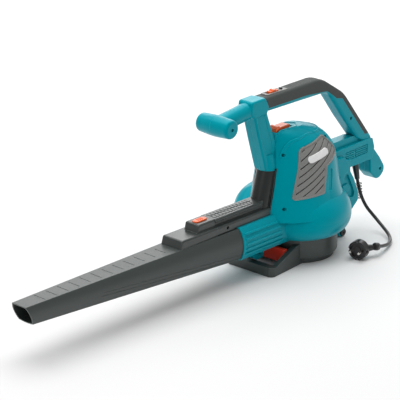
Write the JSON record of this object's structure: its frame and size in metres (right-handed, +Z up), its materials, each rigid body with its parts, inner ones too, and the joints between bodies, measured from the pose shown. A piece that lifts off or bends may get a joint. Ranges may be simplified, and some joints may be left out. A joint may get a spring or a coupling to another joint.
{
  "type": "leaf blower",
  "caption": "Corded garden leaf blower: tapered nozzle, scroll fan casing, domed motor housing, looped top handle with front cross grip, intake stand, cord and plug.",
  "frame": {"origin": "centre of the intake opening at its lower rim, on the floor plane and on the fan axis", "axes": "+Z up along the fan axis, -X along the nozzle towards the outlet, +X rear, -Y the tool's left side"},
  "size_m": [0.9981, 0.2697, 0.3546],
  "materials": {
    "teal_plastic": "semi-gloss moulded",
    "dark_plastic": "satin moulded",
    "grey_plastic": "fine texture",
    "soft_grip": "soft, ribbed",
    "orange_plastic": "semi-gloss",
    "red_plastic": "semi-gloss",
    "white_plastic": "plain plate",
    "black_plastic": "moulded",
    "steel": "plated",
    "laminations": "stacked sheet",
    "copper": "enamelled wire",
    "carbon": "pressed carbon",
    "board": "board with parts",
    "cord_rubber": "smooth sheath",
    "pin_metal": "plated pins"
  },
  "bodies": {
    "housing": {"fan_casing_left": "teal_plastic", "fan_casing_right": "teal_plastic", "motor_body_left": "teal_plastic", "motor_body_right": "teal_plastic", "handle_left": "teal_plastic", "handle_right": "teal_plastic", "grip_cover": "soft_grip", "neck_cover": "dark_plastic", "rail_rear": "dark_plastic", "switch_bezel": "grey_plastic", "switch_block": "black_plastic", "speed_control": "board", "vent_panel_left": "grey_plastic", "vent_panel_right": "grey_plastic", "badge_plates": "white_plastic", "guard_pin": "black_plastic", "motor_plate": "black_plastic", "motor_bracket": "black_plastic", "motor_field": "laminations", "field_coils": "copper", "brush_holders": "black_plastic", "carbon_brushes": "carbon", "lower_bearing": "steel", "upper_bearing": "steel", "housing_screws": "steel", "cord_gland": "cord_rubber", "power_cord": "cord_rubber", "plug_body": "cord_rubber", "plug_pins": "pin_metal"},
    "rotor": {"armature": "laminations", "commutator": "copper", "motor_shaft": "steel", "impeller": "black_plastic", "impeller_nut": "steel"},
    "nozzle": {"blow_tube": "dark_plastic", "tube_rail": "dark_plastic", "button_spring": "steel"},
    "tube_button": {"release_button": "orange_plastic"},
    "switch": {"power_switch": "orange_plastic"},
    "lock": {"lock_button": "dark_plastic"},
    "speed": {"speed_slider": "orange_plastic"},
    "intake_guard": {"intake_ring": "dark_plastic", "intake_grille": "black_plastic", "foot_loop": "dark_plastic", "latch_pin": "steel"},
    "latch": {"latch_lever": "red_plastic"}
  },
  "joints": [
    {"name": "fan_spin", "type": "hinge", "parent": "housing", "child": "rotor", "pos_m": [0, 0, 0.11], "axis": [0, 0, 1], "continuous": true},
    {"name": "tube_pull_off", "type": "slide", "parent": "housing", "child": "nozzle", "axis": [-1, 0, 0], "range_m": [0, 0.045]},
    {"name": "tube_release", "type": "slide", "parent": "nozzle", "child": "tube_button", "axis": [0, 0, -1], "range_m": [0, 0.003], "stiffness_N_per_m": 500, "springref_m": -0.002, "deforming": ["button_spring"]},
    {"name": "switch_slide", "type": "slide", "parent": "housing", "child": "switch", "axis": [-1, 0, 0], "range_m": [0, 0.006]},
    {"name": "lock_press", "type": "slide", "parent": "housing", "child": "lock", "axis": [0, 0, -1], "range_m": [0, 0.0015], "stiffness_N_per_m": 500, "springref_m": -0.002},
    {"name": "speed_set", "type": "slide", "parent": "housing", "child": "speed", "axis": [1, 0, 0], "range_m": [0, 0.008]},
    {"name": "guard_swing", "type": "hinge", "parent": "housing", "child": "intake_guard", "pos_m": [0.119, 0, 0.0094], "axis": [0, -1, 0], "range_deg": [0, 60]},
    {"name": "guard_latch", "type": "hinge", "parent": "intake_guard", "child": "latch", "pos_m": [-0.0885, 0, 0.027], "axis": [0, 1, 0], "range_deg": [0, 12], "stiffness_Nm_per_rad": 0.6, "springref_deg": -11.46}
  ]
}
